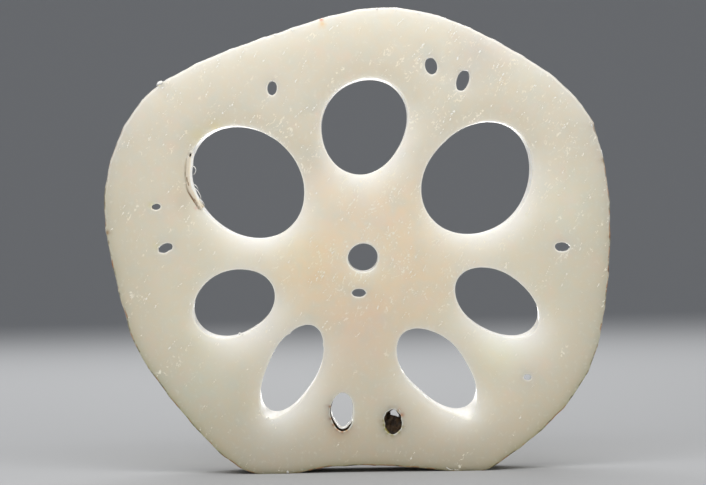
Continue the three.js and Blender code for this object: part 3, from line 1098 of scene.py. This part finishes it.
# Crumbs that the knife left on the edges: place, half sizes in mm, and slant in degrees.
CRUMBS = [
    (-27.27, -3.6, 54.98, (0.55, 0.45, 0.30), 36), (-8.6, -3.95, 62.05, (0.20, 0.15, 0.10), 20),
    (-11.09, -3.95, 61.46, (0.22, 0.15, 0.12), 25), (3.26, -3.95, 64.85, (0.14, 0.12, 0.13), 0),
    (5.79, -3.95, 64.6, (0.12, 0.1, 0.09), -5), (9.16, -3.95, 64.13, (0.16, 0.12, 0.10), -10),
    (13.93, -3.95, 62.5, (0.16, 0.12, 0.10), -20), (33.03, -3.95, 48.14, (0.22, 0.15, 0.10), -60),
    (-16.72, -3.98, 19.75, (0.20, 0.12, 0.15), 30), (-16.3, -4.0, 19.6, (0.12, 0.08, 0.10), 0),
    (-12.9, -4.02, 7.9, (0.20, 0.07, 0.10), 20), (-12.35, -4.02, 7.45, (0.13, 0.06, 0.09), 50),
    (-13.3, -4.02, 7.75, (0.10, 0.06, 0.12), 80), (-10.3, -4.0, 0.22, (0.20, 0.15, 0.14), 0),
]
lining_shells = [strip, sliver] + [thread_shell(path) for path in THREADS]
lining_shells += [crumb_shell(*crumb, 7.0 * i) for i, crumb in enumerate(CRUMBS)]

LOOSE_WHITE = (1.0, 0.99, 0.92, 1)
LOOSE_CREAM = (0.97, 0.91, 0.78, 1)
LOOSE_TAN = (0.93, 0.79, 0.60, 1)
LOOSE_BROWN = (0.24, 0.12, 0.04, 1)
lining_material, tree = new_material("lotus_lining")
streak_values = {"Place": object_place(tree), "Stretch": (2600, 400, 2600)}
streak = add(tree, "ShaderNodeGroup", streak_values, node_tree=lining_streak).outputs[0]
brown_share = times(tree, attribute(tree, "brown"), ranged(tree, streak, 0.3, 0.6, 0.7, 1.0))
colour = layered(
    tree, LOOSE_WHITE, (ranged(tree, streak, 0.4, 0.8, 0.0, 0.4), LOOSE_CREAM),
    (ranged(tree, brown_share, 0.0, 0.3), LOOSE_TAN),
    (ranged(tree, brown_share, 0.42, 0.95), LOOSE_BROWN),
)
finish_material(
    tree, Base_Color=colour, Roughness=0.35, Subsurface_Weight=0.5,
    Subsurface_Radius=(1.0, 0.95, 0.85), Subsurface_Scale=0.4 * MM,
)

strip_brown = np.tile(strip_brown, 2)
loose_lining = joined_object("loose_lining", lining_shells, lining_material, strip_brown)
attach(loose_lining, "root")


# ---- Pore crust ----
# Dried brown matter that lines one pore and nearly closes it, with a way through at its top.
# It is grown to the pore's wall. A dark sheet of the same matter fills the split behind the
# sliver, painted shade for the dark gap there, and a grain of it sits at the upper end of the
# loose strip.
CRUST_LUMPS = 0.16 * MM
CRUST_ROUGH = 0.34 * MM
CRUST_ROOT = 0.05 * MM
WALL_CLEAR = 0.03 * MM

# How far its rings are behind each cut, from where it closes in on the way through, and over
# what depth, all in mm.
CRUST_DEPTHS = [0.08, 0.16, 0.24, 0.32, 0.4, 0.48, 0.56, 0.64, 0.72, 0.85, 1.1, 1.6, 2.6]
CLOSED_FROM = 0.12
CLOSED_OVER = 0.6

# How far the matter stands off the pore's wall, in mm, by bearing from the pore's middle.
CRUST_INSET = (
    [0, 30, 60, 120, 150, 190, 215, 240, 265, 300, 330, 360],
    [0.0, -0.07, -0.07, 0.0, 0.12, 0.07, 0.20, 0.28, 0.10, 0.03, 0.10, 0.0],
)

# The edge of the way through, and its middle at the front cut and at the back one, in mm.
WAY_KNOTS = [
    (5.62, 7.55), (5.66, 8.1), (5.2, 8.7), (4.7, 8.9), (3.85, 8.8), (3.95, 8.55), (4.3, 8.35),
    (4.15, 8.1), (4.6, 7.85), (5.1, 7.8), (5.62, 7.55),
]
WAY_FRONT = np.array((4.75, 8.2)) * MM
WAY_BACK = np.array((4.68, 7.7)) * MM

# The matter is cracked into small flat chips, each at its own height and slope.
CHIP_SIZE = 0.62 * MM
CHIPS_FROM = np.array((2.8, 4.8)) * MM
chip_rng = np.random.default_rng(4)
chip_cells = np.array([(i, j) for i in range(7) for j in range(8)])
chip_middles = CHIPS_FROM + (chip_cells + chip_rng.uniform(0.1, 0.9, chip_cells.shape)) * CHIP_SIZE
chip_slopes = chip_rng.uniform(-0.9, 0.9, chip_cells.shape)
chip_heights = chip_rng.uniform(-0.12, 0.12, len(chip_cells)) * MM


def chips(points):
    """The height of a cracked surface of small flat chips at points of X and Z."""
    away = points[:, None] - chip_middles[None]
    chip = (away ** 2).sum(2).argmin(1)
    here = away[np.arange(len(points)), chip]
    return chip_heights[chip] + (here * chip_slopes[chip]).sum(1)


pore = nearest_channel(4.6, 7.05)
pore_normal = outward(pore)
pore_middle = (pore.min(0) + pore.max(0)) / 2
pore_bearing = bearings(pore - pore_middle)
crust_wall = np.interp(pore_bearing, *CRUST_INSET) * MM
way_line = spaced(np.array(WAY_KNOTS) * MM, 0.03 * MM) - WAY_FRONT
order = bearings(way_line).argsort()
way_line = way_line[order]
way_reach = np.interp(pore_bearing, bearings(way_line), np.hypot(*way_line.T), period=360)
way_outline = way_reach[:, None] * towards(pore_bearing)


def keep_within(points, loop):
    """The factor that draws each point back to just behind the wall of the loop it passes."""
    reach = np.hypot(*(loop - pore_middle).T) + WALL_CLEAR
    return np.minimum(1.0, reach / np.hypot(*(points - pore_middle).T))


# Each level of the crust: its Y, and how far it is behind the nearer cut in mm.
crust_outer, crust_inner = [], []
levels = [(FRONT + d * MM, d) for d in CRUST_DEPTHS] + [(0.0, 4.0)]
levels += [(BACK - d * MM, d) for d in reversed(CRUST_DEPTHS)]
for y, depth in levels:
    along = (y - FRONT) / (BACK - FRONT)
    way = WAY_FRONT * (1 - along) + WAY_BACK * along + way_outline
    closed = min(1.0, max(0.0, (depth - CLOSED_FROM) / CLOSED_OVER))
    closed = closed * closed * (3 - 2 * closed)
    lumps = CRUST_LUMPS * waviness(pore + y * 1.3, 0.5 * MM, 31.0)
    lumps += 0.5 * CRUST_LUMPS * waviness(pore + y * 2.1, 0.22 * MM, 17.0)
    inner = (pore - pore_normal * crust_wall[:, None]) * (1 - closed) + way * closed
    inner = inner + pore_normal * (lumps * (0.4 + 0.2 * closed) - WALL_CLEAR)[:, None]
    inner = pore_middle + (inner - pore_middle) * keep_within(inner, pore)[:, None]
    rough = chips(inner) + 0.3 * CRUST_ROUGH * waviness(inner, 0.24 * MM, 46.0)
    rough = rough * 4 * closed * (1 - closed) * math.copysign(1.0, y)
    crust_inner.append(np.c_[inner[:, 0], y + 0.4 * lumps + rough, inner[:, 1]])
    outer = pore + pore_normal * CRUST_ROOT
    crust_outer.append(np.c_[outer[:, 0], np.full(len(pore), y) + 0.4 * lumps, outer[:, 1]])
crust_faces = band_faces(2 * len(levels), len(pore), closed=True)
crust_shell = (np.vstack(crust_outer + crust_inner[::-1]), crust_faces)

# The matter is olive at the pore's front edge, on its lower left side.
ring_olive = np.array([math.exp(-depth / 0.5) * (y < 0) for y, depth in levels])
bearing_olive = np.exp(-((pore_bearing - 225) / 45) ** 2)
crust_olive = np.outer(np.r_[ring_olive, 0 * ring_olive], bearing_olive).ravel()

# The dark sheet in the split, painted shade for the gap behind the sliver: its four edges, each
# at a reach beyond the wall and a depth behind the front cut, both in mm, and at a share of
# the split's width inside the wall.
SPLIT_EDGES = [(0.05, 0.10, 0.0), (0.05, 1.2, 0.0), (0.0, 1.2, 1.0), (0.0, 0.16, 1.0)]
kept, split_width = along_split(SPLIT_BEARINGS[0])
split_sides = []
for reach, depth, share in SPLIT_EDGES:
    side = narrow[kept] + narrow_normal[kept] * (reach * MM - share * split_width)[:, None]
    split_sides.append(np.c_[side[:, 0], np.full(len(kept), depth * MM + FRONT), side[:, 1]])
split_shade_sheet = ring_shell(np.stack(split_sides, 1))
grain = crumb_shell(-23.17, -4.13, 44.87, (0.13, 0.06, 0.26), -24, 3.0)

CRUST_BLACK = (0.012, 0.006, 0.002, 1)
CRUST_BROWN = (0.045, 0.025, 0.010, 1)
CRUST_RUST = (0.16, 0.08, 0.04, 1)
CRUST_OLIVE = (0.42, 0.36, 0.10, 1)
crust_material, tree = new_material("pore_crust")
place = object_place(tree)
lump = noise_socket(tree, place, 1400, 3.0)
fine = noise_socket(tree, place, 5200, 3.0)
colour = layered(
    tree, CRUST_BLACK, (ranged(tree, lump, 0.35, 0.65), CRUST_BROWN),
    (ranged(tree, fine, 0.62, 0.75, 0.0, 0.6), CRUST_RUST),
    (ranged(tree, attribute(tree, "brown"), 0.25, 0.6), CRUST_OLIVE),
)
finish_material(
    tree, Base_Color=colour, Roughness=0.5, Specular_IOR_Level=0.2,
    Normal=bumped(tree, fine, 0.6, 0.06 * MM),
)

crust_shells = [crust_shell, split_shade_sheet, grain]
crust = joined_object("pore_crust", crust_shells, crust_material, crust_olive)
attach(crust, "root")


# ---- Flecks ----
# White fibre ends and starch specks that lie in both cut faces. They run in short slanting
# rows, closest together towards one shoulder and round the middle.
ROWS_PER_AREA = 2.2e5
LONGEST_ROW = 6
FLECK_SPACING = 0.26 * MM
FLECK_SMALL = 0.055 * MM
FLECK_LARGE = 0.19 * MM
FLECK_THICK = 0.03 * MM
OFF_FACE = 0.04 * MM


def random_field(tree, low, high, seed, kind="FLOAT"):
    values = {"Min": low, "Max": high, "Seed": seed}
    return live(add(tree, "FunctionNodeRandomValue", values, data_type=kind).outputs, "Value")


def read_field(tree, name):
    made = add(tree, "GeometryNodeInputNamedAttribute", {"Name": name}, data_type="FLOAT")
    return live(made.outputs, "Attribute")


def store_field(tree, points, name, value):
    """The points with a value stored on them under a name."""
    values = {"Geometry": points, "Name": name, "Value": value}
    made = add(tree, "GeometryNodeStoreNamedAttribute", values, data_type="FLOAT", domain="POINT")
    return made.outputs["Geometry"]


all_places = np.vstack(vertices)
cut_faces = np.array([face for face in faces if len(face) == 3])
used = np.unique(cut_faces)
renumber = np.full(len(all_places), -1)
renumber[used] = np.arange(len(used))
fleck_mesh = bpy.data.meshes.new("fibre_flecks")
fleck_mesh.from_pydata(all_places[used].tolist(), [], renumber[cut_faces].tolist())
store_values(fleck_mesh, "crowd", crowd_at(all_places[used][:, ::2]))
flecks = in_scene("fibre_flecks", fleck_mesh)

# The flecks are painted whiter towards the crown, a painted highlight where the light from
# above falls, and each has its own tone between two colours.
LOW_TONES = ((0.96, 0.90, 0.77, 1), (1.0, 0.96, 0.87, 1))
HIGH_TONES = ((0.98, 0.95, 0.86, 1), (1.0, 0.99, 0.95, 1))
fleck_material, tree = new_material("lotus_fleck")
tone = attribute(tree, "fleck_tone")
high_share = ranged(tree, split_place(tree, object_place(tree))["Z"], 0.032, 0.056)
low_colour, high_colour = (mix_colour(tree, tone, *tones) for tones in (LOW_TONES, HIGH_TONES))
colour = mix_colour(tree, high_share, low_colour, high_colour)
finish_material(tree, Base_Color=colour, Roughness=0.4)

# The rows begin at random points, where the flecks crowd. Each is copied along its own slant,
# and the flecks that would leave the flesh are taken away.
row_inputs = {
    "Rows per area": ("Float", ROWS_PER_AREA), "Longest row": ("Int", LONGEST_ROW),
    "Spacing": ("Float", FLECK_SPACING), "Smallest": ("Float", FLECK_SMALL),
    "Largest": ("Float", FLECK_LARGE), "Material": ("Material", fleck_material),
}
input_kinds = {"Geometry": "Geometry"} | {name: kind for name, (kind, _) in row_inputs.items()}
rows = new_group("fleck_rows", "GeometryNodeTree", input_kinds, {"Geometry": "Geometry"})
given = add(rows, "NodeGroupInput").outputs
density = times(rows, read_field(rows, "crowd"), given["Rows per area"])
spread_values = {"Mesh": given["Geometry"], "Density": density, "Seed": 5}
spread = add(rows, "GeometryNodeDistributePointsOnFaces", spread_values).outputs["Points"]
slanted = store_field(rows, spread, "slant", random_field(rows, 0.75, 1.25, 21))
row_length = random_field(rows, 1, given["Longest row"], 22, "INT")
repeat_values = {"Geometry": slanted, "Amount": row_length}
repeated = add(rows, "GeometryNodeDuplicateElements", repeat_values, domain="POINT").outputs
slant = read_field(rows, "slant")
pace = times(rows, repeated["Duplicate Index"], given["Spacing"], random_field(rows, 0.7, 1.4, 23))
aside = times(rows, random_field(rows, -0.3, 0.3, 24), given["Spacing"])
step_x = math_node(rows, "ADD", times(rows, math_node(rows, "COSINE", slant), pace), aside)
step_z = times(rows, math_node(rows, "SINE", slant), pace)
move_values = {"Geometry": repeated["Geometry"], "Offset": combined(rows, step_x, 0.0, step_z)}
moved = add(rows, "GeometryNodeSetPosition", move_values).outputs["Geometry"]
near = add(rows, "GeometryNodeProximity", {0: given["Geometry"]}, target_element="FACES")
off_face = math_node(rows, "GREATER_THAN", near.outputs["Distance"], OFF_FACE)
drop_values = {"Geometry": moved, "Selection": off_face}
on_face = add(rows, "GeometryNodeDeleteGeometry", drop_values, domain="POINT").outputs["Geometry"]

# Most flecks are small. Each is a flat seed shape that lies roughly along its row.
grade = math_node(rows, "POWER", random_field(rows, 0.0, 1.0, 25), 2.0)
toned = store_field(rows, on_face, "fleck_tone", grade)
size_values = {"Value": grade, "To Min": given["Smallest"], "To Max": given["Largest"]}
size = add(rows, "ShaderNodeMapRange", size_values).outputs["Result"]
width = times(rows, size, random_field(rows, 0.35, 0.75, 26))
length = times(rows, size, random_field(rows, 0.7, 1.5, 27))
upright = math_node(rows, "SUBTRACT", math.pi / 2, slant)
lean = math_node(rows, "ADD", random_field(rows, -0.35, 0.35, 28), upright)
seed_shape = add(rows, "GeometryNodeMeshIcoSphere", {"Radius": 1.0, "Subdivisions": 1})
placed = add(rows, "GeometryNodeInstanceOnPoints", {
    "Points": toned, "Instance": seed_shape.outputs["Mesh"],
    "Rotation": combined(rows, 0.0, lean, 0.0),
    "Scale": combined(rows, width, FLECK_THICK, length),
})
real = add(rows, "GeometryNodeRealizeInstances", {0: placed.outputs["Instances"]}).outputs[0]
paint_values = {"Geometry": real, "Material": given["Material"]}
painted = add(rows, "GeometryNodeSetMaterial", paint_values).outputs[0]
add(rows, "NodeGroupOutput", {0: painted})

layout = flecks.modifiers.new("fleck_rows", "NODES")
layout.node_group = rows
for name, (_, value) in row_inputs.items():
    socket = next(item for item in rows.interface.items_tree if item.name == name)
    layout[socket.identifier] = value
flecks.update_tag()
evaluated = flecks.evaluated_get(bpy.context.evaluated_depsgraph_get())
plain = bpy.data.meshes.new_from_object(evaluated)
flecks.modifiers.remove(layout)
flecks.data = plain
plain.materials.clear()
plain.materials.append(fleck_material)
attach(flecks, "root")


# ---- Studio ----
# A pale floor that turns up into a backdrop, one large light above and behind the slice, a
# small low one behind it, and a weak wide one in front. Sizes are in metres.
FLOOR_HALF = 1.5
BACKDROP_AT = 1.3
BACKDROP_TOP = 1.5
BEND = 0.8
profile = [(-FLOOR_HALF, 0.0)]
profile += [
    (BACKDROP_AT - BEND + BEND * math.sin(a), BEND - BEND * math.cos(a))
    for a in np.linspace(0, math.pi / 2, 16)
]
profile += [(BACKDROP_AT, BACKDROP_TOP)]
floor_vertices = [(x, y, z) for y, z in profile for x in (-FLOOR_HALF, FLOOR_HALF)]
floor_faces = [(2 * i, 2 * i + 1, 2 * i + 3, 2 * i + 2) for i in range(len(profile) - 1)]
floor_mesh = bpy.data.meshes.new("studio_floor")
floor_mesh.from_pydata(floor_vertices, [], floor_faces)
floor_mesh.shade_smooth()
floor_material, tree = new_material("studio_paper")
finish_material(tree, Base_Color=(0.46, 0.47, 0.485, 1), Roughness=0.9, Specular_IOR_Level=0.1)
floor_mesh.materials.append(floor_material)
floor = in_scene("studio_floor", floor_mesh)


def soft_light(name, place, target, size, power, colour, spread=180):
    """A rectangular lamp that the camera doesn't see."""
    light_data = bpy.data.lights.new(name, "AREA")
    light_data.shape = "RECTANGLE"
    light_data.size, light_data.size_y = size
    light_data.energy = power
    light_data.color = colour
    light_data.spread = math.radians(spread)
    light = in_scene(name, light_data)
    light.visible_camera = False
    light.matrix_world = aimed(place, target)


LAMP_WHITE = (1.0, 0.985, 0.96)
LAMP_WARM = (1.0, 0.98, 0.95)
soft_light("light_back", (-0.03, 0.25, 0.26), (0, 0, 0.035), (0.40, 0.28), 0.90, LAMP_WHITE)
soft_light("light_low", (0.0, 0.10, 0.010), (0, 0, 0.055), (0.09, 0.016), 0.012, LAMP_WHITE, 60)
soft_light("light_front", (0.0, -0.105, 0.155), (0, 0, 0.05), (0.24, 0.08), 0.247, LAMP_WARM)

world = bpy.data.worlds.new("studio_air")
world.use_nodes = True
air = world.node_tree.nodes["Background"].inputs
air["Color"].default_value = (0.94, 0.96, 1.0, 1)
air["Strength"].default_value = 0.33
bpy.context.scene.world = world
bpy.context.scene.view_settings.view_transform = "Standard"
